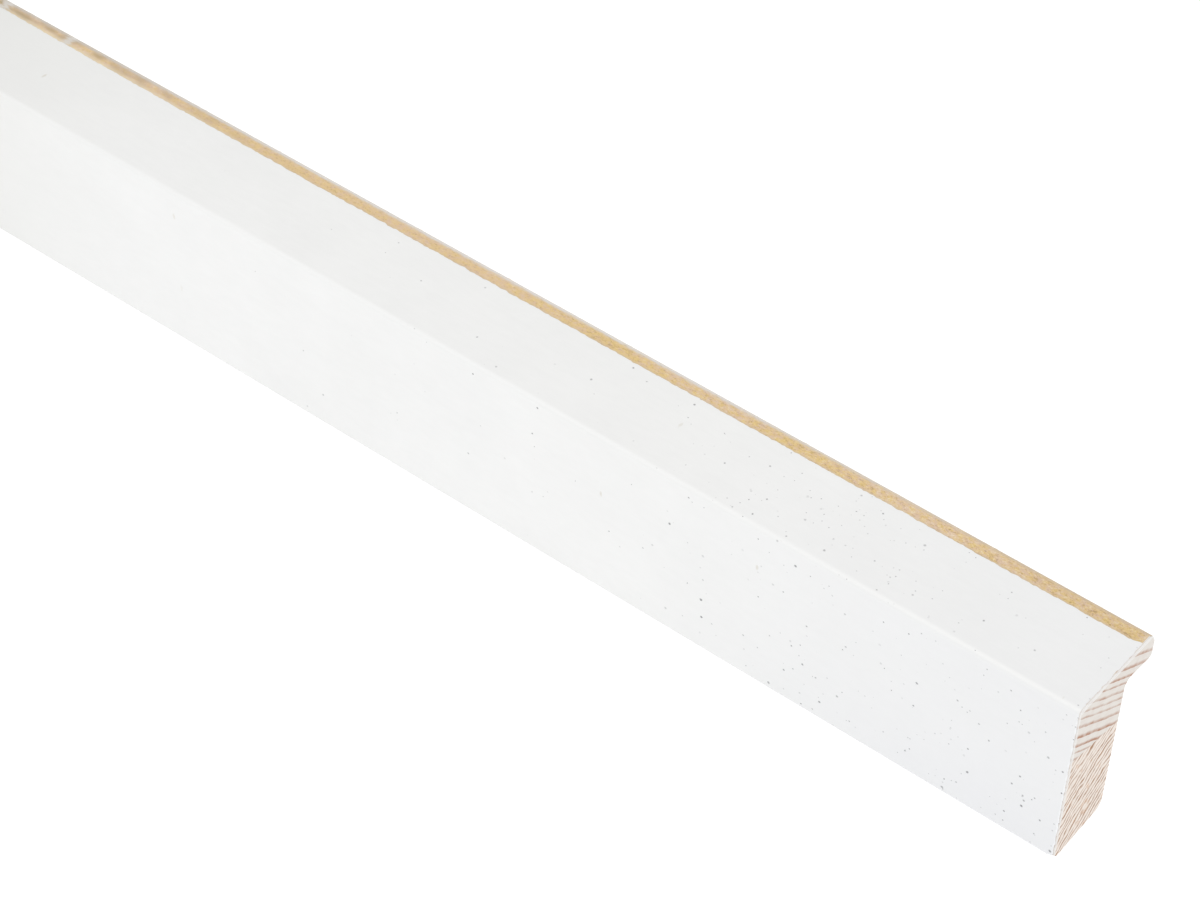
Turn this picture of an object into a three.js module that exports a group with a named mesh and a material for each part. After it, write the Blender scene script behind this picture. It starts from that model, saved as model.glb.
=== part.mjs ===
// Picture frame moulding: a cut length of a deep, narrow wooden moulding.
// Its tall outer side and its sloping top meet in a softly rounded ridge. The top falls towards
// the sight edge and runs out over the rebate as a thin lip with a rounded tip. The rest is a
// straight body with eased lower edges. The blank is glued up from two timbers, one above the
// other, and the glue line between them is slanted. Both ends are cut square.
//
// Frame: +X runs along the length, +Y from the outer side to the sight edge, +Z up.
// The origin is under the middle of the moulding, on the plane that it stands on.
import * as THREE from "three";

// Driving dimensions, in millimetres
const LENGTH = 250;
const WIDTH = 20; // from the outer side to the sight edge
const BODY_WIDTH = 12.9; // from the outer side to the wall of the rebate
const RIDGE_HEIGHT = 33; // where the planes of the outer side and the top meet
const SIGHT_HEIGHT = 32; // the top's plane above the sight edge
const LIP_ROOT_HEIGHT = 27.5; // underside of the lip at the wall of the rebate
const LIP_TIP_HEIGHT = 26.6; // underside of the lip at the sight edge
const GLUE_FRONT_HEIGHT = 21.8; // glue line on the outer side
const GLUE_BACK_HEIGHT = 19; // glue line on the wall of the rebate

const RIDGE_RADIUS = 0.8;
const TIP_TOP_RADIUS = 2.8;
const TIP_UNDER_RADIUS = 0.9;
const LIP_ROOT_RADIUS = 1.4;
const FRONT_FOOT_RADIUS = 1.2;
const BACK_FOOT_RADIUS = 1.6;
const ARC_SEGMENTS = 10; // straight steps in each rounded corner

// Finish of both timbers, as it shows from the front
const WHITE_PAINT = { color: 0xf3f3f1, roughness: 0.55, metalness: 0 };

/** A corner of a cross-section: a point of the section's plane and the radius that eases it. */
function corner(y, z, radius = 0) {
  return { point: new THREE.Vector2(y, z), radius };
}

/** Adds the arc that eases one corner to a shape, or only the corner's point when it is sharp. */
function addEasedCorner(shape, before, { point, radius }, after, isFirst) {
  const toBefore = before.clone().sub(point).normalize();
  const toAfter = after.clone().sub(point).normalize();
  const halfAngle = Math.acos(toBefore.dot(toAfter)) / 2;
  const start = point.clone().addScaledVector(toBefore, radius / Math.tan(halfAngle));
  if (isFirst) shape.moveTo(start.x, start.y);
  else shape.lineTo(start.x, start.y);
  if (radius === 0) return;
  const bisector = toBefore.clone().add(toAfter).normalize();
  const centre = point.clone().addScaledVector(bisector, radius / Math.sin(halfAngle));
  const end = point.clone().addScaledVector(toAfter, radius / Math.tan(halfAngle));
  const angleOf = (place) => Math.atan2(place.y - centre.y, place.x - centre.x);
  const turnsClockwise = toBefore.cross(toAfter) > 0;
  shape.absarc(centre.x, centre.y, radius, angleOf(start), angleOf(end), turnsClockwise);
}

/** Closed outline through a loop of corners, each eased by its own radius. */
function easedOutline(corners) {
  const shape = new THREE.Shape();
  corners.forEach((current, index) => {
    const before = corners.at(index - 1).point;
    const after = corners[(index + 1) % corners.length].point;
    addEasedCorner(shape, before, current, after, index === 0);
  });
  shape.closePath();
  return shape;
}

/** Named length of timber with the given cross-section, centred on the origin in X and Y. */
function timber(name, corners, finish) {
  const geometry = new THREE.ExtrudeGeometry(easedOutline(corners), {
    depth: LENGTH,
    bevelEnabled: false,
    curveSegments: ARC_SEGMENTS / 2,
  });
  geometry.translate(-WIDTH / 2, 0, -LENGTH / 2);
  const sectionToFrame = new THREE.Matrix4().makeBasis(
    new THREE.Vector3(0, 1, 0),
    new THREE.Vector3(0, 0, 1),
    new THREE.Vector3(1, 0, 0),
  );
  geometry.applyMatrix4(sectionToFrame);
  const mesh = new THREE.Mesh(geometry, new THREE.MeshStandardMaterial(finish));
  mesh.name = name;
  return mesh;
}

// Sections, anticlockwise from the front end of the glue line or from the front foot
const glueFront = corner(0, GLUE_FRONT_HEIGHT);
const glueBack = corner(BODY_WIDTH, GLUE_BACK_HEIGHT);

const upperSection = [
  glueFront,
  glueBack,
  corner(BODY_WIDTH, LIP_ROOT_HEIGHT, LIP_ROOT_RADIUS),
  corner(WIDTH, LIP_TIP_HEIGHT, TIP_UNDER_RADIUS),
  corner(WIDTH, SIGHT_HEIGHT, TIP_TOP_RADIUS),
  corner(0, RIDGE_HEIGHT, RIDGE_RADIUS),
];

const lowerSection = [
  corner(0, 0, FRONT_FOOT_RADIUS),
  corner(BODY_WIDTH, 0, BACK_FOOT_RADIUS),
  glueBack,
  glueFront,
];

const moulding = new THREE.Group();
moulding.add(timber("upper_timber", upperSection, WHITE_PAINT));
moulding.add(timber("lower_timber", lowerSection, WHITE_PAINT));

export default moulding;
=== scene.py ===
"""Looks of a cut length of deep, narrow picture frame moulding.

Two glued timbers carry a skin of white paint over the outer side, the ridge and the sloping top,
and a narrow gold band along the sight edge. +X runs along the length, +Y from the outer side to
the sight edge and +Z up. Pieces are shaped at one unit to the millimetre and then brought to metres.
"""

import logging
import math
from collections.abc import Callable
from dataclasses import dataclass, field
from enum import Enum
from functools import reduce

import bmesh
import bpy
from mathutils import Matrix, Vector


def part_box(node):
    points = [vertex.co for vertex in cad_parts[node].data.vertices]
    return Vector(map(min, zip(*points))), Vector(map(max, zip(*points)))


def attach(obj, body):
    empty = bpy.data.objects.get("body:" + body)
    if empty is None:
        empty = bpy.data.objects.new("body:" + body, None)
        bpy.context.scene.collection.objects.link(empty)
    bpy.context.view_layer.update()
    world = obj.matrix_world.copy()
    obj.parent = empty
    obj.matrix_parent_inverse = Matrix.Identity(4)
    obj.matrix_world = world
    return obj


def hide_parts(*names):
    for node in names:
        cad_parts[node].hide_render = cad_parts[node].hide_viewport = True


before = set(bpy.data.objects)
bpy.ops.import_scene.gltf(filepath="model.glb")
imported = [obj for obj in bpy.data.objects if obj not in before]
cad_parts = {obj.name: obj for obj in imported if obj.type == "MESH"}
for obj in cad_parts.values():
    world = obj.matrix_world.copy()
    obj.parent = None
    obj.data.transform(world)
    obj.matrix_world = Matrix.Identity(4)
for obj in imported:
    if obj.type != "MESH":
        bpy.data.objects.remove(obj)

LOG = logging.getLogger("moulding")
METRES_PER_MM = 0.001
TOUCH = 0.01  # places closer than this, in millimetres, count as one
FACING = 0.9  # least part of its normal along an axis for a face that faces that way
BODY = "root"
Colour = tuple[float, float, float, float]
Pair = tuple[float, float]
Size = float | Pair
WHITE: Colour = (1.0, 1.0, 1.0, 1.0)


def tone(*screen: float) -> Colour:
    """Turns red, green and blue screen values, from 0 to 255, into a shader's linear colour."""
    parts = [value / 255 for value in screen]
    return (*(part / 12.92 if part <= 0.04045 else ((part + 0.055) / 1.055) ** 2.4 for part in parts), 1.0)


def clamp(value: float) -> float:
    """Limits a value to the range from 0 to 1."""
    return min(1.0, max(0.0, value))


class Element(Enum):
    """What an edit-mode selection is made of."""

    VERTEX = "VERT"
    EDGE = "EDGE"
    FACE = "FACE"


class Strip(Enum):
    """The two timbers of the glued blank."""

    UPPER = "upper_timber"
    LOWER = "lower_timber"


@dataclass(frozen=True)
class Section:
    """Cross-section of the moulding, in millimetres, in the frame's Y and Z."""

    half_length: float
    front: float
    wall: float
    tip: float
    glue_front_height: float
    glue_back_height: float = 19.0
    ridge_height: float = 33.0
    sight_height: float = 32.0
    lip_root_height: float = 27.5
    lip_tip_height: float = 26.6
    ridge_radius: float = 0.8
    tip_top_radius: float = 2.8
    tip_under_radius: float = 0.9
    lip_root_radius: float = 1.4
    front_foot_radius: float = 1.2
    back_foot_radius: float = 1.6

    @classmethod
    def from_frame(cls) -> "Section":
        """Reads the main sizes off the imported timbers.

        Returns:
            The section at the frame's own sizes.
        """
        upper_low, upper_high = (corner / METRES_PER_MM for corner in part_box(Strip.UPPER.value))
        lower_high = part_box(Strip.LOWER.value)[1] / METRES_PER_MM
        return cls(
            half_length=upper_high.x,
            front=upper_low.y,
            wall=lower_high.y,
            tip=upper_high.y,
            glue_front_height=lower_high.z,
        )

    def top_at(self, y: float) -> float:
        """Height of the sloping top's plane at a given Y."""
        share = (y - self.front) / (self.tip - self.front)
        return self.ridge_height + share * (self.sight_height - self.ridge_height)

    def lip_under_at(self, y: float) -> float:
        """Height of the lip's underside at a given Y."""
        share = (y - self.wall) / (self.tip - self.wall)
        return self.lip_root_height + share * (self.lip_tip_height - self.lip_root_height)

    @property
    def top_slope(self) -> float:
        """Angle by which the top falls towards the sight edge, in radians."""
        return math.atan2(self.ridge_height - self.sight_height, self.tip - self.front)

    @property
    def lip_slope(self) -> float:
        """Angle by which the lip's underside falls towards the sight edge, in radians."""
        return math.atan2(self.lip_root_height - self.lip_tip_height, self.tip - self.wall)

    @property
    def glue_slope(self) -> float:
        """Angle by which the glue line falls towards the rebate, in radians."""
        return math.atan2(self.glue_front_height - self.glue_back_height, self.wall - self.front)


@dataclass(frozen=True)
class Clouds:
    """Unevenness of an edge: the size of its waves, in millimetres, and its finer layers."""

    size: float
    layers: int


class Shape:
    """A mesh object in edit mode, shaped by Blender's own operators."""

    ARC_STEPS = 12
    SMOOTH_ANGLE = math.radians(28)
    FLAT_ANGLE = math.radians(0.5)

    def __init__(self, name: str, low: Vector, high: Vector) -> None:
        """Adds a box between two corners and enters edit mode.

        Args:
            name: Name of the object and of its mesh.
            low: Lowest corner, in millimetres.
            high: Highest corner, in millimetres.
        """
        bpy.ops.object.select_all(action="DESELECT")
        bpy.ops.mesh.primitive_cube_add(size=1, location=(low + high) / 2, scale=high - low)
        self.object = bpy.context.object
        self.object.name = name
        self.object.data.name = name
        bpy.ops.object.transform_apply(location=True, rotation=True, scale=True)
        bpy.ops.object.mode_set(mode="EDIT")

    def select(self, kind: Element, test: Callable[..., bool]) -> None:
        """Selects the elements that pass a test, and nothing else.

        Args:
            kind: Whether vertices, edges or faces are tested.
            test: Says whether one element is wanted.
        """
        bpy.ops.mesh.select_mode(type=kind.value)
        bpy.ops.mesh.select_all(action="DESELECT")
        mesh = bmesh.from_edit_mesh(self.object.data)
        pool = {Element.VERTEX: mesh.verts, Element.EDGE: mesh.edges, Element.FACE: mesh.faces}[kind]
        for element in [element for element in pool if test(element)]:
            element.select_set(True)
        mesh.select_flush_mode()
        bmesh.update_edit_mesh(self.object.data)

    def select_all(self) -> None:
        """Selects everything."""
        bpy.ops.mesh.select_all(action="SELECT")

    def select_long_edges(self, y: float, z: float) -> None:
        """Selects the lengthwise edges at one place of the section."""
        self.select(
            Element.EDGE,
            lambda edge: all(math.hypot(v.co.y - y, v.co.z - z) < TOUCH for v in edge.verts),
        )

    def move(self, offset: Vector) -> None:
        """Moves what is selected."""
        bpy.ops.transform.translate(value=offset)

    def extrude(self, offset: Vector) -> None:
        """Extrudes the selected faces by an offset."""
        bpy.ops.mesh.extrude_region_move(TRANSFORM_OT_translate={"value": offset})

    def round_edge(self, y: float, z: float, radius: float, inner_angle: float) -> None:
        """Rounds one long edge to a radius.

        Args:
            y: Place of the edge across the section.
            z: Height of the edge.
            radius: Radius of the arc.
            inner_angle: Angle between the two faces, in radians.
        """
        self.select_long_edges(y, z)
        bpy.ops.mesh.bevel(
            offset=radius / math.tan(inner_angle / 2),
            offset_type="OFFSET",
            segments=self.ARC_STEPS,
            profile=0.5,
            affect="EDGES",
            clamp_overlap=False,
        )

    def cut(self, point: Vector, normal: Vector, clear: bool = False) -> None:
        """Cuts the selected faces with a plane.

        Args:
            point: A point of the plane.
            normal: Normal of the plane.
            clear: Whether the side that the normal points to is taken away and the cut is closed.
        """
        bpy.ops.mesh.bisect(
            plane_co=point, plane_no=normal, use_fill=clear, clear_inner=False, clear_outer=clear
        )

    def subdivide_edges(self, test: Callable[..., bool], cuts: int) -> None:
        """Divides the edges that pass a test, and the faces between them."""
        self.select(Element.EDGE, test)
        bpy.ops.mesh.subdivide(number_cuts=cuts)

    def draw_in_ends(self, half_length: float, gap: float) -> None:
        """Draws both ends in by a gap."""
        for side in (-1, 1):
            self.select(Element.VERTEX, lambda vertex: vertex.co.x * side > half_length - TOUCH)
            self.move(Vector((-side * gap, 0, 0)))

    def group(self, name: str, weight: Callable[[Vector], float]) -> None:
        """Makes a vertex group whose weights follow from each vertex's place."""
        bpy.ops.object.mode_set(mode="OBJECT")
        made = self.object.vertex_groups.new(name=name)
        for vertex in self.object.data.vertices:
            made.add([vertex.index], weight(vertex.co), "REPLACE")
        bpy.ops.object.mode_set(mode="EDIT")

    def modify(self, kind: str, **settings: object) -> None:
        """Adds a modifier with the given settings and applies it.

        Args:
            kind: Blender's name for the type of modifier.
            **settings: Its properties and their values.
        """
        bpy.ops.object.mode_set(mode="OBJECT")
        modifier = self.object.modifiers.new(kind.lower(), kind)
        for key, value in settings.items():
            setattr(modifier, key, value)
        bpy.ops.object.modifier_apply(modifier=modifier.name)
        bpy.ops.object.mode_set(mode="EDIT")

    def roughen(self, group: str, axis: str, clouds: Clouds, depth: float, mid_level: float = 0.5) -> None:
        """Moves a group of vertices unevenly along an axis.

        Args:
            group: Vertex group that moves.
            axis: Name of the axis.
            clouds: Size and detail of the unevenness.
            depth: Way between the furthest and the nearest, in millimetres.
            mid_level: Share of that way at which nothing moves.
        """
        texture = bpy.data.textures.new(f"{self.object.name}_{group}", "CLOUDS")
        texture.noise_scale = clouds.size
        texture.noise_depth = clouds.layers
        self.modify(
            "DISPLACE",
            texture=texture,
            direction=axis,
            mid_level=mid_level,
            strength=depth,
            vertex_group=group,
        )

    def finish(self, material: bpy.types.Material) -> bpy.types.Object:
        """Recalculates the normals, brings the mesh to metres, shades it and gives it its material.

        Args:
            material: Material of the whole piece.

        Returns:
            The finished object, at the origin.
        """
        self.select_all()
        bpy.ops.mesh.remove_doubles(threshold=TOUCH / 10)
        bpy.ops.mesh.normals_make_consistent(inside=False)
        bpy.ops.object.mode_set(mode="OBJECT")
        self.object.scale = (METRES_PER_MM,) * 3
        bpy.ops.object.transform_apply(location=False, rotation=False, scale=True)
        bpy.ops.object.shade_smooth_by_angle(angle=self.SMOOTH_ANGLE)
        self.object.modifiers.new("weighted", "WEIGHTED_NORMAL").keep_sharp = True
        bpy.ops.object.modifier_apply(modifier="weighted")
        self.object.data.materials.append(material)
        return self.object


def moulding_form(name: str, section: Section, inset: float) -> Shape:
    """Shapes the whole moulding's outline, a little inside its painted sides.

    Args:
        name: Name of the new object.
        section: Sizes of the section.
        inset: How far the front, the top and the tip lie inside the section.

    Returns:
        The closed form, in edit mode.
    """
    front, tip = section.front + inset, section.tip - inset
    half = section.half_length
    shape = Shape(name, Vector((-half, front, 0)), Vector((half, section.wall, section.lip_root_height)))

    shape.select(Element.FACE, lambda face: face.normal.z > FACING)
    shape.extrude(Vector((0, 0, section.ridge_height - section.lip_root_height)))
    shape.select(
        Element.FACE,
        lambda face: face.normal.y > FACING and face.calc_center_median().z > section.lip_root_height,
    )
    shape.extrude(Vector((0, tip - section.wall, 0)))
    shape.select_long_edges(tip, section.lip_root_height)
    shape.move(Vector((0, 0, section.lip_under_at(tip) - section.lip_root_height)))

    shape.select_all()
    slope = section.top_slope
    shape.cut(
        Vector((0, section.front, section.ridge_height - inset)),
        Vector((0, math.sin(slope), math.cos(slope))),
        clear=True,
    )
    shape.select_all()
    bpy.ops.mesh.dissolve_limited(angle_limit=shape.FLAT_ANGLE)

    square = math.pi / 2
    lip_angle = square - section.lip_slope
    for y, z, radius, inner_angle in (
        (front, section.top_at(front) - inset, section.ridge_radius - inset, square - slope),
        (tip, section.top_at(tip) - inset, section.tip_top_radius - inset, square + slope),
        (tip, section.lip_under_at(tip), section.tip_under_radius - inset, lip_angle),
        (section.wall, section.lip_root_height, section.lip_root_radius, lip_angle),
        (front, 0, section.front_foot_radius - inset, square),
        (section.wall, 0, section.back_foot_radius, square),
    ):
        shape.round_edge(y, z, radius, inner_angle)
    knock_front_foot(shape, section)
    return shape


def knock_front_foot(shape: Shape, section: Section, depth: float = 0.08) -> None:
    """Presses in the front foot at the near end, where the length has had a knock.

    Args:
        shape: The whole form, in edit mode.
        section: Sizes of the section.
        depth: How far each of three steps goes in, in millimetres.
    """
    radius, half = section.front_foot_radius, section.half_length
    shape.select(
        Element.FACE,
        lambda face: all(
            v.co.y < section.front + radius + TOUCH and v.co.z < radius + TOUCH for v in face.verts
        ),
    )
    shape.cut(Vector((half - radius, 0, 0)), Vector((1, 0, 0)))
    middle = Vector((half, section.front + 0.3 * radius, 0.3 * radius))
    for reach in (0.7 * radius, 0.5 * radius, 0.3 * radius):
        shape.select(Element.VERTEX, lambda vertex: (vertex.co - middle).length < reach)
        shape.move(Vector((0, depth, depth)))


def math_method(operation: str, reflected: bool = False) -> Callable[..., "Wire"]:
    """Makes a method of a wire that adds one Math node.

    Args:
        operation: Blender's name for the operation.
        reflected: Whether the wire comes after the other value.

    Returns:
        The method, which takes the other values and returns the node's value.
    """

    def method(self: "Wire", *others: "Wire | float") -> "Wire":
        """Adds the Math node."""
        values = (*others, self) if reflected else (self, *others)
        node = self.graph.add("Math", {"operation": operation}, dict(enumerate(values)))
        return Wire(self.graph, node.outputs[0])

    return method


class Wire:
    """An output socket that takes part in Python expressions, each operator adding a Math node."""

    def __init__(self, graph: "Graph", socket: bpy.types.NodeSocket) -> None:
        """Wraps a socket of a graph."""
        self.graph = graph
        self.socket = socket

    __add__ = __radd__ = math_method("ADD")
    __sub__ = math_method("SUBTRACT")
    __rsub__ = math_method("SUBTRACT", reflected=True)
    __mul__ = __rmul__ = math_method("MULTIPLY")
    __truediv__ = math_method("DIVIDE")
    __pow__ = math_method("POWER")
    __abs__ = math_method("ABSOLUTE")
    least = math_method("MINIMUM")
    most = math_method("MAXIMUM")
    below = math_method("LESS_THAN")
    fraction = math_method("FRACT")

    def step(self, low: "Wire | float", high: "Wire | float") -> "Wire":
        """Smooth step from 0 at one value to 1 at another.

        Args:
            low: Where the step starts.
            high: Where the step ends.

        Returns:
            The step, from 0 to 1.
        """
        node = self.graph.add(
            "MapRange",
            {"interpolation_type": "SMOOTHSTEP", "clamp": True},
            {"Value": self, "From Min": low, "From Max": high},
        )
        return Wire(self.graph, node.outputs["Result"])


class Graph:
    """Node tree of one material. Places and sizes in it are in millimetres."""

    def __init__(self, name: str, **shader_values: object) -> None:
        """Makes a material with one Principled shader.

        Args:
            name: Name of the material.
            **shader_values: Values that are the same all over, by socket name with _ for a space.
        """
        self.material = bpy.data.materials.new(name)
        self.material.use_nodes = True
        self.tree = self.material.node_tree
        self.tree.nodes.clear()
        named = {key.replace("_", " "): value for key, value in shader_values.items()}
        self.shader = self.add("BsdfPrincipled", sockets=named)
        self.add("OutputMaterial", sockets={"Surface": Wire(self, self.shader.outputs["BSDF"])})
        place = self.add("TexCoord").outputs["Object"]
        to_mm = {0: Wire(self, place), "Scale": 1 / METRES_PER_MM}
        scaled = self.add("VectorMath", {"operation": "SCALE"}, to_mm)
        self.place = Wire(self, scaled.outputs["Vector"])
        parts = self.add("SeparateXYZ", sockets={0: self.place})
        self.x, self.y, self.z = (Wire(self, output) for output in parts.outputs)

    def add(
        self, kind: str, settings: dict[str, object] | None = None, sockets: dict | None = None
    ) -> bpy.types.Node:
        """Adds one node.

        Args:
            kind: Blender's name for the type of node, without ShaderNode in front.
            settings: Its properties, or the stops of a ramp as pairs of place and colour.
            sockets: Values or wires for its inputs, by name or number.

        Returns:
            The new node.
        """
        node = self.tree.nodes.new(f"ShaderNode{kind}")
        for key, value in (settings or {}).items():
            if key == "stops":
                self._set_stops(node.color_ramp, value)
            else:
                setattr(node, key, value)
        for key, value in (sockets or {}).items():
            self.feed(node.inputs[key], value)
        return node

    @staticmethod
    def _set_stops(ramp: bpy.types.ColorRamp, stops: list[tuple[float, Colour]]) -> None:
        """Gives a colour ramp its stops."""
        while len(ramp.elements) < len(stops):
            ramp.elements.new(1.0)
        for element, (place, colour) in zip(ramp.elements, stops):
            element.position = place
            element.color = colour

    def feed(self, socket: bpy.types.NodeSocket, value: object) -> None:
        """Links a wire to an input, or sets the input's own value."""
        if isinstance(value, Wire):
            self.tree.links.new(value.socket, socket)
        else:
            socket.default_value = value

    def vector(self, x: Wire | float, y: Wire | float, z: Wire | float) -> Wire:
        """Vector of three values."""
        node = self.add("CombineXYZ", sockets={0: x, 1: y, 2: z})
        return Wire(self, node.outputs["Vector"])

    def spread(self, size: Size, at: Wire | None = None) -> Wire:
        """Place on the piece, or another place, with each axis divided by the size of the pattern."""
        along, across = size if isinstance(size, tuple) else (size, size)
        sizes = (along, across, across)
        node = self.add("VectorMath", {"operation": "DIVIDE"}, {0: at or self.place, 1: sizes})
        return Wire(self, node.outputs["Vector"])

    def noise(self, size: Size, detail: float = 2.0, rough: float = 0.5, at: Wire | None = None) -> Wire:
        """Soft noise, mostly from -0.5 to 0.5.

        Args:
            size: Size of its features, in millimetres, or a pair of sizes along X and across it.
            detail: Number of finer layers.
            rough: Strength of the finer layers.
            at: Place to read it at, if it isn't the place on the piece.

        Returns:
            The noise, around 0.
        """
        node = self.add(
            "TexNoise",
            {"noise_dimensions": "3D"},
            {"Vector": self.spread(size, at), "Scale": 1.0, "Detail": detail, "Roughness": rough},
        )
        return Wire(self, node.outputs["Fac"]) - 0.5

    def cells(self, size: Size, at: Wire | None = None) -> tuple[Wire, Wire, Wire, Wire]:
        """Points scattered over a plane, one to each square of the given size.

        Args:
            size: Spacing of the points, in millimetres, or a pair of spacings along X and across it.
            at: Place to read them at, of which the first two axes count.

        Returns:
            The distance to the nearest point, in spacings, and three random values for that point.
        """
        node = self.add(
            "TexVoronoi",
            {"voronoi_dimensions": "2D"},
            {"Vector": self.spread(size, at), "Scale": 1.0},
        )
        random = self.add("SeparateColor", sockets={0: Wire(self, node.outputs["Color"])})
        return Wire(self, node.outputs["Distance"]), *(Wire(self, output) for output in random.outputs)

    def mix(self, share: Wire, first: Wire | Colour, second: Wire | Colour) -> Wire:
        """Mixes two colours.

        Args:
            share: How much of the second colour shows, from 0 to 1.
            first: Colour at 0.
            second: Colour at 1.

        Returns:
            The mixed colour.
        """
        node = self.add(
            "Mix", {"data_type": "RGBA", "clamp_factor": True}, {0: share, 6: first, 7: second}
        )
        return Wire(self, node.outputs[2])

    def ramp(self, value: Wire, stops: list[tuple[float, Colour]]) -> Wire:
        """Colour that follows a value through the stops of a ramp."""
        node = self.add("ValToRGB", {"stops": stops}, {0: value})
        return Wire(self, node.outputs["Color"])

    def set_surface(self, height: Wire, depth_mm: float, **values: Wire) -> None:
        """Links the values that vary over the surface.

        Args:
            height: Height of the relief, from 0 to 1.
            depth_mm: Real height of the relief at 1, in millimetres.
            **values: Wires for the shader's sockets, by socket name with _ for a space.
        """
        for key, value in values.items():
            self.feed(self.shader.inputs[key.replace("_", " ")], value)
        bump = self.add(
            "Bump",
            sockets={"Height": height, "Distance": depth_mm * METRES_PER_MM, "Strength": 1.0},
        )
        self.feed(self.shader.inputs["Normal"], Wire(self, bump.outputs["Normal"]))


@dataclass(frozen=True)
class SpeckLayer:
    """A scatter of specks of like size. Lengths are in millimetres.

    A share says how many of the places hold a speck, all over or on the worn foot.
    """

    spacing: float
    radius: float
    share: float
    foot_share: float
    shift: Pair


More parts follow.
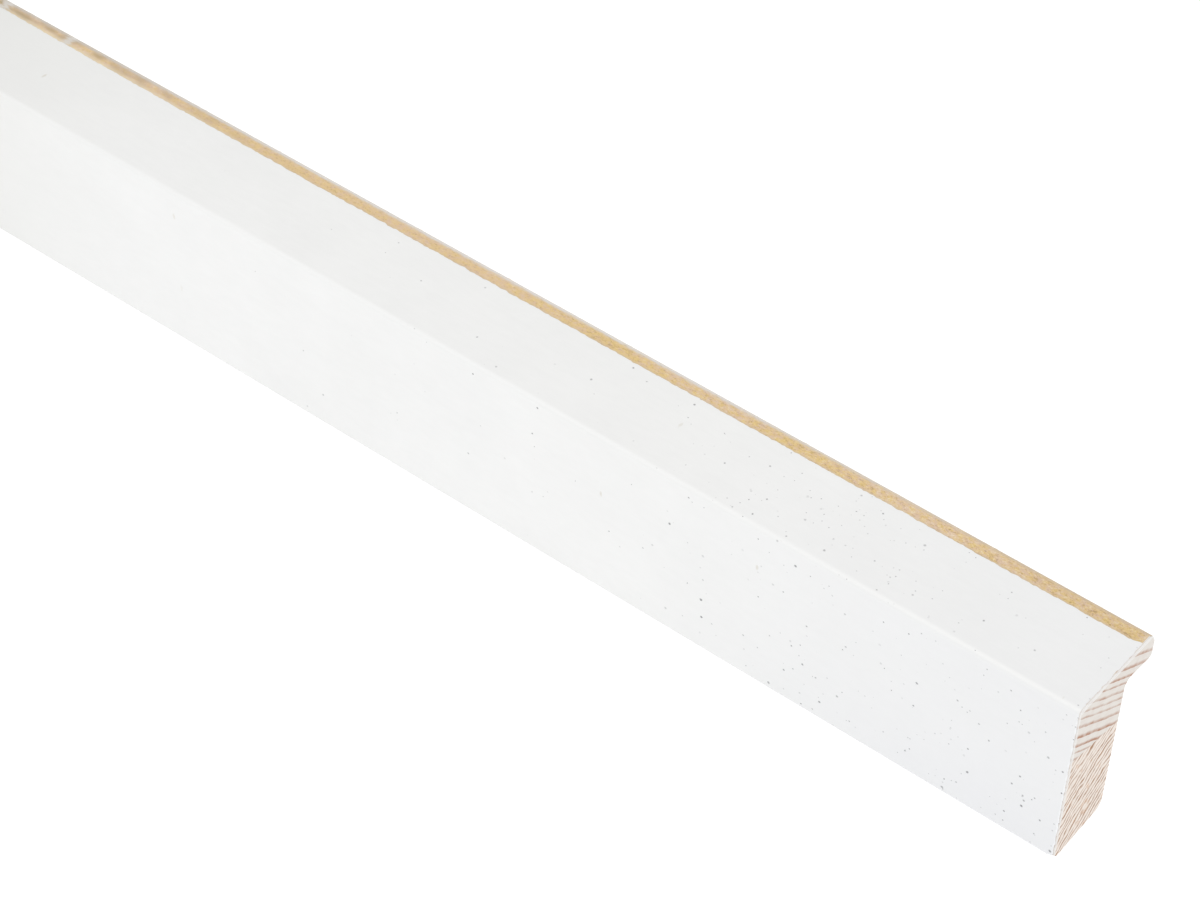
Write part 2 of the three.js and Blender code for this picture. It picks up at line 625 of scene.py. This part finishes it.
@dataclass(frozen=True)
class PaintFinish:
    """White paint with soft clouds and a scatter of fine dark specks, a painted highlight along the ridge
    and painted shade towards both ends.
    """

    name: str = "white_paint"
    white: Colour = tone(238, 238, 237)
    shade: Colour = tone(230, 230, 229)
    # Pale tone at the cut ends: partly the chipped ground and partly a painted highlight on the arris.
    ground: Colour = tone(243, 244, 246)
    cool_shade: Colour = tone(222, 223, 227)
    far_shade: Colour = tone(224, 224, 221)
    speck: Colour = tone(78, 80, 84)
    stain: Colour = tone(190, 180, 156)
    roughness: float = 0.5
    streak_length: float = 45.0
    streak_width: float = 0.4
    near_shade_span: Pair = (40.0, 130.0)
    far_shade_span: Pair = (-125.0, -46.0)
    ridge_highlight_span: Pair = (-90.0, 20.0)
    worn_foot_span: Pair = (84.0, 122.0)
    worn_foot_rise: Pair = (0.8, 4.5)
    speck_span: Pair = (28.0, 86.0)
    far_speck_span: Pair = (-50.0, 10.0)
    clear_top_span: Pair = (88.0, 104.0)
    far_density: float = 0.09
    stain_spacing: float = 17.0
    relief: float = 0.02
    layers: tuple[SpeckLayer, ...] = (
        SpeckLayer(spacing=3.1, radius=0.32, share=0.34, foot_share=0.0, shift=(0.0, 0.0)),
        SpeckLayer(spacing=2.1, radius=0.23, share=0.28, foot_share=0.25, shift=(7.7, 0.9)),
        SpeckLayer(spacing=1.3, radius=0.16, share=0.13, foot_share=0.25, shift=(3.3, 0.4)),
    )

    def coat(self, graph: Graph, section: Section, on_top: Wire, streaks: Wire) -> Wire:
        """Colour of the paint without its specks.

        Args:
            graph: Graph of the material.
            section: Sizes of the section.
            on_top: 1 on the sloping top and 0 on the outer side.
            streaks: Brush streaks, around 0.

        Returns:
            The colour.
        """
        clouds = graph.noise(16.0)
        smears = graph.noise((3.2, 1.3), rough=0.6)
        share = streaks * (on_top * 0.2 + 0.15) + clouds * 0.8 + smears * 0.5 + 0.5
        colour = graph.mix(share, self.shade, self.white)
        # Painted shade: the paint turns cooler and darker towards the near end, more on the outer side and
        # towards the bottom.
        near_shade = graph.x.step(*self.near_shade_span) * (1 - on_top * 0.35)
        low = 1 - graph.z.step(0.0, 20.0)
        colour = graph.mix(near_shade * (low * 0.2 + 0.36 + clouds * 0.2), colour, self.cool_shade)
        # Painted shade: the paint turns a little darker towards the far end.
        colour = graph.mix(1 - graph.x.step(*self.far_shade_span), colour, self.far_shade)
        # Painted highlight: a thin lighter line along the rounded ridge, stronger towards the near end.
        across_ridge = (graph.y - section.front) - (section.ridge_height - graph.z)
        wander = graph.noise((14.0, 3.0)) * 0.16
        ridge = 1 - abs(across_ridge + wander).step(0.05, 0.75)
        colour = graph.mix(ridge * (graph.x.step(*self.ridge_highlight_span) * 0.5 + 0.5), colour, self.white)
        # Paler band along both cut ends, mostly on the outer side: partly the chipped ground and partly a
        # painted highlight on the arris.
        sawn = (abs(graph.x) - section.half_length + graph.noise(0.6) * 0.5).step(-0.42, -0.12)
        return graph.mix(sawn * (0.7 - on_top * 0.6), colour, self.ground)

    def specks(self, graph: Graph, layer: SpeckLayer, at: Wire, share: Wire) -> Wire:
        """Scatter of specks, most of them faint.

        Args:
            graph: Graph of the material.
            layer: Size and spacing of the specks.
            at: Place on the skin as if it were laid flat.
            share: Share of the places that hold a speck.

        Returns:
            The cover of the specks, from 0 to 1.
        """
        distance, chance, scale, strength = graph.cells(layer.spacing, at)
        radius = (scale * 0.6 + 0.4) * layer.radius
        ragged = graph.noise(0.26) * 0.24
        cover = 1 - (distance * layer.spacing + ragged).step(radius * 0.35, radius)
        return chance.below(share) * cover * (strength * 0.68 + 0.12)

    def stains(self, graph: Graph, flat: Wire) -> Wire:
        """Few small drawn-out stains, as their cover from 0 to 1, at places on the flat skin."""
        stain_place = graph.spread((0.42, 1.0), flat)
        distance, chance, scale, strength = graph.cells(self.stain_spacing, stain_place)
        edge = distance * self.stain_spacing + graph.noise(0.5) * 0.7
        stain = chance.below(0.07) * (1 - edge.step(scale * 0.3 + 0.1, scale * 0.5 + 0.5))
        return stain * (strength * 0.25 + 0.1)

    def make(self, section: Section) -> bpy.types.Material:
        """Builds the material.

        Args:
            section: Sizes of the section.

        Returns:
            The material.
        """
        graph = Graph(self.name, Specular_IOR_Level=0.35)
        around = (graph.y - section.front) + (graph.z - section.ridge_height)
        flat = graph.vector(graph.x, around, 0.0)
        on_top = (graph.z - section.sight_height).step(-0.4, 0.2)
        streaks = graph.noise((self.streak_length, self.streak_width), 3.0, 0.65)
        base = self.coat(graph, section, on_top, streaks)
        base = graph.mix(self.stains(graph, flat), base, self.stain)
        nearness = graph.x.step(*self.speck_span)
        density = nearness * nearness * 0.91 + graph.x.step(*self.far_speck_span) * self.far_density
        clusters = graph.noise(5.5, 1.0, at=flat).step(-0.16, 0.2) * 1.9 + 0.08
        worn_foot = graph.x.step(*self.worn_foot_span) * (1 - graph.z.step(*self.worn_foot_rise))
        top_share = 0.6 - graph.x.step(*self.clear_top_span) * 1.1
        share = density * clusters * (on_top * top_share + 0.8)
        covers = []
        for layer in self.layers:
            place = graph.vector(graph.x + layer.shift[0], around + layer.shift[1], 0.0)
            chance = share * layer.share + worn_foot * layer.foot_share
            covers.append(self.specks(graph, layer, place, chance))
        specks = reduce(Wire.most, covers) * (1 - on_top * 0.25)
        colour = graph.mix(specks, base, self.speck)
        peel = graph.noise(0.8)
        graph.set_surface(
            streaks * (on_top * 0.15 + 0.15) + peel * 0.3 + specks * 0.4,
            depth_mm=self.relief,
            Base_Color=colour,
            Roughness=self.roughness + peel * 0.1 + specks * 0.15,
        )
        return graph.material


@dataclass(frozen=True)
class GoldFinish:
    """Mottled antique gold, grey along its rim, with painted shade that darkens it towards the far end, and
    rubbed through in places.
    """

    name: str = "antique_gold"
    yellow: Colour = tone(226, 198, 134)
    ochre: Colour = tone(223, 194, 146)
    blush: Colour = tone(221, 194, 168)
    olive: Colour = tone(150, 118, 76)
    pale: Colour = tone(238, 224, 196)
    far_gold_shade: Colour = tone(186, 164, 130)
    worn: Colour = tone(212, 208, 202)
    edge: Colour = tone(206, 186, 158)
    rim: Colour = tone(212, 208, 204)
    near_rim: Colour = tone(188, 166, 136)
    far_rim_shade: Colour = tone(190, 181, 169)
    roughness: float = 0.45
    far_span: Pair = (-92.0, -24.0)
    near_span: Pair = (40.0, 116.0)
    blush_span: Pair = (-15.0, 60.0)
    contrast_span: Pair = (0.0, 100.0)
    olive_span: Pair = (94.0, 114.0)
    border_width: float = 0.42
    rim_start: float = 2.45
    rim_width: float = 1.1
    under_rim: Pair = (-1.1, -0.5)
    relief: float = 0.035
    breaks: tuple[float, ...] = (-96.8, -82.2)

    def leaf(self, graph: Graph) -> tuple[Wire, Wire]:
        """Mottled colour of the gold.

        Args:
            graph: Graph of the material.

        Returns:
            The colour, and fine grain around 0.
        """
        slow = graph.noise((24.0, 30.0), 1.0)
        hue = graph.noise((1.2, 0.8), 3.0, 0.75)
        grain = graph.noise(0.26, 3.0, 0.75)
        shade = graph.noise((0.9, 0.5), 3.0, 0.7, at=graph.spread(0.83))
        stops = [(0.36, self.yellow), (0.5, self.ochre), (0.64, self.blush)]
        colour = graph.ramp(hue * 1.1 + slow * 0.5 + 0.49, stops)
        colour = graph.mix((1 - graph.x.step(*self.blush_span)) * 0.3, colour, self.blush)
        contrast = graph.x.step(*self.contrast_span) * 0.5 + 0.8
        light = (shade + grain * 0.75 + slow * 0.25) * contrast
        colour = graph.mix(light.step(0.02, 0.36) * 0.75, colour, self.pale)
        return graph.mix((light * -1.0).step(0.0, 0.36) * 0.7, colour, self.olive), grain

    def make(self, section: Section, inner_edge: float) -> bpy.types.Material:
        """Builds the material.

        Args:
            section: Sizes of the section.
            inner_edge: Place of the band's edge on the sloping top, in millimetres.

        Returns:
            The material.
        """
        graph = Graph(self.name, Specular_IOR_Level=0.5)
        colour, grain = self.leaf(graph)
        ragged = graph.noise((1.4, 0.5), 3.0, 0.6)
        blotches = graph.noise((4.0, 2.0), 1.0)
        far = 1 - graph.x.step(*self.far_span)
        nearness = graph.x.step(*self.near_span)
        # Painted shade: the gold turns darker and greyer towards the far end, broken up in blotches.
        colour = graph.mix(far * (blotches * 3.2 + 0.5), colour, self.far_gold_shade)
        border = 1 - (graph.y - inner_edge + ragged * 0.7).step(-0.05, far + self.border_width)
        sawn = (abs(graph.x) - section.half_length + ragged * 0.8).step(-0.85, -0.3)
        colour = graph.mix(graph.x.step(*self.olive_span) * 0.1, colour, self.olive)
        colour = graph.mix(border * 0.7, colour, graph.mix(far, self.edge, self.pale))
        nicks = (graph.noise((0.5, 0.4), 1.0) + ragged * 0.4).step(0.1, 0.26)
        colour = graph.mix(border * nicks * nearness * 0.7, colour, self.olive)
        colour = graph.mix(sawn * 0.25, colour, self.pale)
        start = section.tip - self.rim_start + nearness * 0.3
        below = (graph.y + ragged * 1.2 - section.tip).step(*self.under_rim)
        thin = (graph.y + ragged * 0.9 - start).step(0.0, self.rim_width) * (1 - below * 0.85)
        # The rim strip is greyer, with painted shade that darkens it towards the far end.
        rim = graph.mix(nearness, graph.mix(far, self.rim, self.far_rim_shade), self.near_rim)
        spots = [1 - abs(graph.x - place + ragged * 3.2).step(0.1, 1.6) for place in self.breaks]
        gap = reduce(Wire.most, spots)
        colour = graph.mix(thin * (ragged * 0.9 + 0.92), colour, rim)
        colour = graph.mix(gap * (0.85 - below * 0.6), colour, self.worn)
        bare = thin.most(gap)
        graph.set_surface(
            grain * 0.7 + ragged * 0.5,
            depth_mm=self.relief,
            Base_Color=colour,
            Metallic=(1 - border * 0.6) * (1 - bare) * 0.5,
            Roughness=self.roughness + grain * 0.25,
        )
        return graph.material


@dataclass(frozen=True)
class Rings:
    """Growth rings around a distant heart, from the innermost that the timber holds.

    A ring's strength is how dark its late wood is, and its width is the way to the next ring.
    """

    heart_y: float
    heart_z: float
    first_radius: float
    widths: tuple[float, ...]
    strengths: tuple[float, ...]
    wander: float
    wander_size: float

    def late_wood(self, graph: Graph) -> Wire:
        """Growth rings, as the share of dark late wood.

        Args:
            graph: Graph of the material.

        Returns:
            0 in early wood and up to 1 in late wood.
        """
        away_y, away_z = graph.y - self.heart_y, graph.z - self.heart_z
        wave = graph.noise((150.0, self.wander_size), 2.0, 0.55)
        radius = (away_y * away_y + away_z * away_z) ** 0.5 + wave * self.wander
        total = sum(self.widths)
        reached = [sum(self.widths[:index]) / total for index in range(len(self.widths) + 1)]
        stops = [
            (place, (index / len(self.widths), strength, 0.0, 1.0))
            for index, (place, strength) in enumerate(zip(reached, self.strengths))
        ]
        marks = graph.ramp((radius - self.first_radius) / total, stops)
        parts = graph.add("SeparateColor", sockets={0: marks})
        count, strength = (Wire(graph, output) for output in parts.outputs[:2])
        within = (count * len(self.widths)).fraction()
        return within.step(0.5, 0.88) * (1 - within.step(0.94, 1.0)) * strength


@dataclass(frozen=True)
class WoodFinish:
    """Bare softwood, cut across at the ends and planed along, with paint that has run onto it."""

    name: str
    rings: Rings
    early: Colour
    late: Colour
    long_early: Colour = tone(226, 211, 192)
    long_late: Colour = tone(198, 166, 134)
    paint: Colour = tone(229, 228, 226)
    resin: Colour = tone(196, 144, 96)
    mottle: float = 0.22
    breakup: float = 1.6
    side_depth: float = 0.55
    ridge_depth: float = 0.3
    top_depth: float = 0.95
    nose_depth: float = 0.35
    run: float = 2.6
    end_depth: Pair = (-0.25, -0.05)
    relief: float = 0.04
    roughness: float = 0.7
    duct_spacing: float = 1.7
    pocket: bool = False
    pocket_place: Pair = (-2.6, 5.2)
    pocket_lean: Pair = (0.45, 0.89)
    pocket_reach: tuple[float, float, float] = (9.0, 1.7, 0.95)

    def painted_end(self, graph: Graph, section: Section) -> Wire:
        """Where the paint and its ground show on a cut end.

        Args:
            graph: Graph of the material.
            section: Sizes of the section.

        Returns:
            1 in the paint and 0 in the wood.
        """
        ragged = graph.noise((4.0, 0.45), rough=0.6) * 0.55 + graph.noise((8.0, 2.4), 1.0) * 0.5
        slope = (section.ridge_height - section.sight_height) / (section.tip - section.front)
        from_front = graph.y - section.front
        from_top = (section.ridge_height - from_front * slope) - graph.z
        top_depth = from_front.step(1.0, 10.0) * (self.top_depth - self.ridge_depth) + self.ridge_depth
        nose_y = section.tip - section.tip_top_radius
        nose_z = section.top_at(nose_y) - section.tip_top_radius
        across, up = (graph.y - nose_y).most(0.0), (graph.z - nose_z).most(0.0)
        from_nose = section.tip_top_radius - (across * across + up * up) ** 0.5
        inside = (from_front - self.side_depth).least(from_top - top_depth)
        inside = inside.least(from_nose - self.nose_depth)
        return 1 - (inside + ragged).step(-0.06, 0.06)

    def painted_side(self, graph: Graph, section: Section) -> Wire:
        """Where the paint has run onto the planed sides, past the edges of the skin.

        Args:
            graph: Graph of the material.
            section: Sizes of the section.

        Returns:
            1 in the paint and 0 on bare wood.
        """
        ragged = graph.noise((5.0, 1.2), 3.0, 0.65) * 2.2
        on_lip = graph.z.step(section.lip_tip_height - 1.0, section.lip_tip_height - 0.5)
        under_foot = 1 - graph.z.step(1.0, 1.5)
        front_run = 1 - (graph.y - section.front + ragged).step(self.run - 0.3, self.run)
        lip_run = 1 - (section.tip - graph.y + ragged).step(self.run - 0.3, self.run)
        on_front = (graph.y - section.front).below(0.5)
        return (front_run * under_foot).most(lip_run * on_lip).most(on_front)

    def resin_pocket(self, graph: Graph, section: Section, colour: Wire) -> Wire:
        """Adds a small resin pocket at the near end, a pale lens in a broken amber line.

        Args:
            graph: Graph of the material.
            section: Sizes of the section.
            colour: Colour of the wood around it.

        Returns:
            The colour with the pocket.
        """
        y, z = graph.y - self.pocket_place[0], graph.z - self.pocket_place[1]
        lean_y, lean_z = self.pocket_lean
        depth, length, width = self.pocket_reach
        along = (y * lean_y - z * lean_z) / length
        across = (y * lean_z + z * lean_y) / width
        deep = (graph.x - section.half_length) / depth
        lens = (along ** 2.0 + across ** 2.0 + deep ** 2.0) ** 0.5
        lens = lens + graph.noise((8.0, 0.7)) * 0.7
        broken = graph.noise((8.0, 1.1)).step(-0.12, 0.14) * 0.34 + 0.08
        colour = graph.mix((1 - abs(lens - 0.85).step(0.05, 0.5)) * broken, colour, self.resin)
        return graph.mix((1 - lens.step(0.2, 0.75)) * 0.6, colour, self.early)

    def resin_ducts(self, graph: Graph, colour: Wire) -> Wire:
        """Adds the short amber dashes of resin ducts."""
        slant = (graph.z * 0.8 - graph.y * 0.6) * 2.0
        across_grain = graph.vector(graph.y * 0.8 + graph.z * 0.6, slant, 0.0)
        distance, chance, scale, strength = graph.cells(self.duct_spacing, across_grain)
        edge = (distance * self.duct_spacing).step(scale * 0.2 + 0.05, scale * 0.3 + 0.3)
        duct = chance.below(0.32) * (1 - edge)
        return graph.mix(duct * (strength * 0.5 + 0.2), colour, self.resin)

    def make(self, section: Section) -> bpy.types.Material:
        """Builds the material.

        Args:
            section: Sizes of the section.

        Returns:
            The material.
        """
        graph = Graph(self.name, Specular_IOR_Level=0.25)
        late = self.rings.late_wood(graph)
        fibre = graph.noise((9.0, 0.22), 3.0, 0.6)
        pores = graph.noise((6.0, 0.3), 1.0)
        blotch = graph.noise((30.0, 1.6))
        lines = late * (blotch * self.breakup + 1.0)
        across = graph.mix(lines + (pores * 0.4 + blotch * 1.4) * self.mottle + 0.02, self.early, self.late)
        if self.pocket:
            across = self.resin_pocket(graph, section, self.resin_ducts(graph, across))
        cast = graph.noise((70.0, 5.0))
        planed = late * (cast + 0.6) + fibre * 0.35 + cast * 0.3 + 0.12
        along = graph.mix(planed, self.long_early, self.long_late)
        at_end = (abs(graph.x) - section.half_length).step(*self.end_depth)
        wood = graph.mix(at_end, along, across)
        on_end = self.painted_end(graph, section) * at_end * 0.78
        on_side = self.painted_side(graph, section) * (1 - at_end)
        painted = on_end.most(on_side)
        colour = graph.mix(painted, wood, self.paint)
        height = fibre * (1 - at_end * 0.8) * 0.5 + pores * 0.3 + late * 0.25
        graph.set_surface(
            height * (1 - painted * 0.8),
            depth_mm=self.relief,
            Base_Color=colour,
            Roughness=self.roughness - late * 0.08 - painted * 0.15,
        )
        return graph.material


def pine_finishes() -> dict[Strip, WoodFinish]:
    """Wood of the two timbers, each with its own rings and tones.

    Returns:
        The finish of each timber.
    """
    upper = WoodFinish(
        name="upper_pine",
        rings=Rings(
            heart_y=140.0,
            heart_z=240.0,
            first_radius=247.3,
            widths=(1.7, 1.8, 1.5, 1.1, 1.4, 1.2, 1.15, 1.55, 1.8, 1.5, 1.1, 1.3, 1.3),
            strengths=(0.5, 0.62, 0.72, 0.74, 0.66, 0.56, 0.46, 0.56, 0.68, 0.9, 0.85, 0.76, 0.5, 0.4),
            wander=0.45,
            wander_size=3.2,
        ),
        early=tone(221, 216, 210),
        late=tone(172, 128, 104),
    )
    strong, weak = (0.95, 0.72, 0.88, 1.0, 0.8), (0.72, 0.5, 0.62, 0.68, 0.55)
    lower = WoodFinish(
        name="lower_pine",
        rings=Rings(
            heart_y=26.0,
            heart_z=-36.0,
            first_radius=41.0,
            widths=(1.3, 1.1, 1.4, 1.2, 1.3) * 5,
            strengths=strong * 3 + weak * 2 + (0.5,),
            wander=2.4,
            wander_size=3.4,
        ),
        early=tone(231, 221, 212),
        late=tone(156, 115, 83),
        mottle=0.36,
        breakup=2.8,
        pocket=True,
    )
    return {Strip.UPPER: upper, Strip.LOWER: lower}


@dataclass
class TimberBlank:
    """The two glued timbers, a little inside the painted sides so that the skin covers them."""

    section: Section
    skin_room: float = 0.1
    finishes: dict[Strip, WoodFinish] = field(default_factory=pine_finishes)

    def build(self, strip: Strip) -> bpy.types.Object:
        """Shapes one timber and gives it its wood.

        Args:
            strip: Which of the two timbers.

        Returns:
            The finished object.
        """
        section = self.section
        shape = moulding_form(f"{strip.value}_wood", section, self.skin_room)
        slope = section.glue_slope
        away = Vector((0, math.sin(slope), math.cos(slope)))
        if strip is Strip.UPPER:
            away.negate()
        shape.select_all()
        shape.cut(Vector((0, section.front, section.glue_front_height)), away, clear=True)
        piece = shape.finish(self.finishes[strip].make(section))
        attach(piece, BODY)
        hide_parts(strip.value)
        return piece


@dataclass
class PaintSkin:
    """The skin of white paint, from the rounded front foot up and over to the rounded tip.

    The row cuts divide the outer side and then the top, so that their ends can chip. Each is
    the least length of an edge that it divides, in millimetres, and the number of cuts.
    """

    section: Section
    thickness: float = 0.15
    feather: float = 0.02
    foot_wrap: float = 1.15
    lip_wrap: float = 0.98
    end_gap: float = 0.02
    chips: Clouds = Clouds(size=0.8, layers=2)
    chip_depth: float = 0.3
    row_cuts: tuple[tuple[float, int], ...] = ((20.0, 100), (10.0, 66))
    finish: PaintFinish = PaintFinish()

    def is_painted(self, face: bmesh.types.BMFace) -> bool:
        """Says whether a face of the whole form carries paint."""
        section = self.section
        place, normal = face.calc_center_median(), face.normal
        if abs(normal.x) > 0.5:
            return False
        if place.y < section.front + self.foot_wrap:
            return True
        if place.z < section.lip_tip_height - TOUCH:
            return False
        return normal.z > 0.1 or place.y > section.tip - self.lip_wrap

    def build(self) -> bpy.types.Object:
        """Shapes the skin and gives it its paint.

        Returns:
            The finished object.
        """
        section = self.section
        shape = moulding_form("paint_skin", section, 0.0)
        for limit in (section.front + self.foot_wrap, section.tip - self.lip_wrap):
            shape.select(Element.FACE, lambda face: face.normal.z < -FACING)
            shape.cut(Vector((0, limit, 0)), Vector((0, 1, 0)))
        shape.select(Element.FACE, lambda face: not self.is_painted(face))
        bpy.ops.mesh.delete(type="FACE")
        end = section.half_length - self.end_gap
        shape.draw_in_ends(section.half_length, self.end_gap)
        for least_length, cuts in self.row_cuts:
            shape.subdivide_edges(lambda edge: self.spans(edge, least_length), cuts)
        for side in (-1, 1):
            shape.select_all()
            shape.cut(Vector((side * (end - self.chips.size), 0, 0)), Vector((1, 0, 0)))
        for name, side in (("near_end", 1), ("far_end", -1)):
            shape.group(name, lambda place: float(place.x * side > end - TOUCH))
            shape.roughen(name, "X", self.chips, -side * self.chip_depth, mid_level=0.0)
        shape.group("full", self.fullness)
        shape.modify(
            "SOLIDIFY",
            thickness=self.thickness,
            offset=-1.0,
            vertex_group="full",
            thickness_vertex_group=self.feather / self.thickness,
        )
        piece = shape.finish(self.finish.make(section))
        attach(piece, BODY)
        return piece

    @staticmethod
    def spans(edge: bmesh.types.BMEdge, size: float) -> bool:
        """Says whether an edge runs across the section and is at least that long."""
        first, second = (vertex.co for vertex in edge.verts)
        return abs(first.x - second.x) < TOUCH and (first - second).length > size

    def fullness(self, place: Vector) -> float:
        """Share of the full thickness at a place: the skin thins out where it ends."""
        section = self.section
        if place.z < section.front_foot_radius:
            return clamp((section.front + self.foot_wrap - place.y) / self.foot_wrap)
        if place.y > section.tip - self.lip_wrap and place.z < section.lip_root_height:
            return clamp((place.y - section.tip + self.lip_wrap) / self.lip_wrap)
        return 1.0


@dataclass
class GoldBand:
    """The narrow gold band over the rounded sight edge, with a ragged border."""

    section: Section
    width: float = 3.98
    drop: float = 1.4
    far_narrowing: float = 0.5
    end_gap: float = 0.25
    proud: float = 0.03
    thickness: float = 0.06
    ragged: Clouds = Clouds(size=0.75, layers=3)
    ragged_depth: float = 0.5
    length_cuts: tuple[int, int] = (24, 26)
    far_start: float = -50.0
    far_reach: float = 50.0
    far_power: float = 1.7
    near_start: float = 122.6
    near_reach: float = 2.2
    near_share: float = 1.3
    finish: GoldFinish = GoldFinish()

    @property
    def inner_edge(self) -> float:
        """Place of the band's border on the sloping top."""
        return self.section.tip - self.width

    def build(self) -> bpy.types.Object:
        """Shapes the band and gives it its gold.

        Returns:
            The finished object.
        """
        section = self.section
        shape = moulding_form("gold_band", section, -self.proud)
        shape.select(Element.FACE, lambda face: face.normal.z > FACING)
        shape.cut(Vector((0, self.inner_edge, 0)), Vector((0, 1, 0)))
        lowest = section.sight_height - self.drop
        shape.select(
            Element.FACE,
            lambda face: face.normal.z < 0.05
            or face.calc_center_median().y < self.inner_edge
            or face.calc_center_median().z < lowest,
        )
        bpy.ops.mesh.delete(type="FACE")
        for cuts in self.length_cuts:
            shape.subdivide_edges(lambda edge: abs(edge.verts[0].co.x - edge.verts[1].co.x) > TOUCH, cuts)
        end = section.half_length - self.end_gap
        shape.draw_in_ends(section.half_length, self.end_gap)
        shape.group("inner", lambda place: float(place.y < self.inner_edge + TOUCH))
        shape.group("far_inner", self.narrowing)
        bottom = min(vertex.co.z for vertex in shape.object.data.vertices)
        shape.group("outer", lambda place: float(place.z < bottom + TOUCH))
        shape.group("ends", lambda place: float(abs(place.x) > end - TOUCH))
        shape.modify(
            "DISPLACE", direction="Y", mid_level=0.0, strength=self.far_narrowing, vertex_group="far_inner"
        )
        for group, axis in (("inner", "Y"), ("outer", "Z"), ("ends", "X")):
            shape.roughen(group, axis, self.ragged, self.ragged_depth)
        shape.modify("SOLIDIFY", thickness=self.thickness, offset=-1.0)
        piece = shape.finish(self.finish.make(section, self.inner_edge))
        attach(piece, BODY)
        return piece

    def narrowing(self, place: Vector) -> float:
        """How much the band's border draws in at a place, towards the far end and at the near end."""
        if place.y > self.inner_edge + TOUCH:
            return 0.0
        away = clamp((self.far_start - place.x) / self.far_reach)
        near = clamp((place.x - self.near_start) / self.near_reach)
        return away**self.far_power + self.near_share * near**2


@dataclass(frozen=True)
class Viewpoint:
    """Camera at the photograph's viewing angle, in metres and degrees."""

    place: tuple[float, float, float] = (0.24224, -0.27259, 0.36841)
    azimuth: float = 37.2147
    elevation: float = 45.7228
    roll: float = 1.36
    lens: float = 97.2
    sensor: float = 36.0

    def build(self) -> None:
        """Adds the camera and makes it the scene's own."""
        camera = bpy.data.cameras.new("camera")
        camera.lens = self.lens
        camera.sensor_width = self.sensor
        camera.sensor_fit = "HORIZONTAL"
        camera.clip_start = 0.01
        camera.clip_end = 20.0
        holder = bpy.data.objects.new("camera", camera)
        turn = (
            Matrix.Rotation(math.radians(self.azimuth), 4, "Z")
            @ Matrix.Rotation(math.radians(90 - self.elevation), 4, "X")
            @ Matrix.Rotation(math.radians(self.roll), 4, "Z")
        )
        holder.matrix_world = Matrix.Translation(self.place) @ turn
        bpy.context.scene.collection.objects.link(holder)
        bpy.context.scene.camera = holder


@dataclass(frozen=True)
class SoftBox:
    """A square light that faces the moulding and that no camera sees."""

    name: str
    place: tuple[float, float, float]
    size: float
    power: float
    colour: tuple[float, float, float] = (1.0, 1.0, 1.0)

    def build(self) -> None:
        """Adds the light, turned towards the origin."""
        light = bpy.data.lights.new(self.name, "AREA")
        light.shape = "SQUARE"
        light.size = self.size
        light.energy = self.power
        light.color = self.colour
        holder = bpy.data.objects.new(self.name, light)
        holder.location = self.place
        holder.rotation_euler = (-Vector(self.place)).to_track_quat("-Z", "Y").to_euler()
        holder.visible_camera = False
        bpy.context.scene.collection.objects.link(holder)


@dataclass(frozen=True)
class Studio:
    """Plain white sweep and plain soft light."""

    floor_size: float = 6.0
    floor_tone: Colour = tone(160, 160, 160)
    floor_glow: float = 0.79
    glow_colour: Colour = (0.988, 0.994, 1.0, 1.0)
    sky_strength: float = 0.924
    lights: tuple[SoftBox, ...] = (
        SoftBox("front_softbox", (-0.15, -0.45, 0.4), 0.4, 0.355, (0.985, 0.992, 1.0)),
        SoftBox("right_softbox", (0.4, 0.15, 0.5), 0.4, 0.45, (1.0, 0.99, 0.965)),
    )

    def build(self) -> None:
        """Adds the floor, the sky and the lights, and keeps whites as they are."""
        bpy.ops.object.select_all(action="DESELECT")
        bpy.ops.mesh.primitive_plane_add(size=self.floor_size, location=(0, 0, 0))
        floor = bpy.context.object
        floor.name = "floor"
        finish = Graph(
            "floor_white",
            Base_Color=self.floor_tone,
            Roughness=0.9,
            Specular_IOR_Level=0.1,
            Emission_Color=self.glow_colour,
            Emission_Strength=self.floor_glow,
        )
        floor.data.materials.append(finish.material)
        world = bpy.data.worlds.new("sky")
        world.use_nodes = True
        background = world.node_tree.nodes["Background"]
        background.inputs["Color"].default_value = WHITE
        background.inputs["Strength"].default_value = self.sky_strength
        bpy.context.scene.world = world
        for light in self.lights:
            light.build()
        bpy.context.scene.view_settings.view_transform = "Standard"
        bpy.context.scene.view_settings.look = "None"


def main() -> None:
    """Builds the camera, the pieces and the studio, and reports each piece."""
    logging.basicConfig(level=logging.INFO, format="%(message)s")
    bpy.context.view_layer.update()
    section = Section.from_frame()
    Viewpoint().build()
    blank = TimberBlank(section)
    pieces = [blank.build(strip) for strip in Strip]
    pieces += [PaintSkin(section).build(), GoldBand(section).build()]
    for piece in pieces:
        LOG.info("%s: %d faces", piece.name, len(piece.data.polygons))
    Studio().build()


if __name__ == "__main__":
    main()
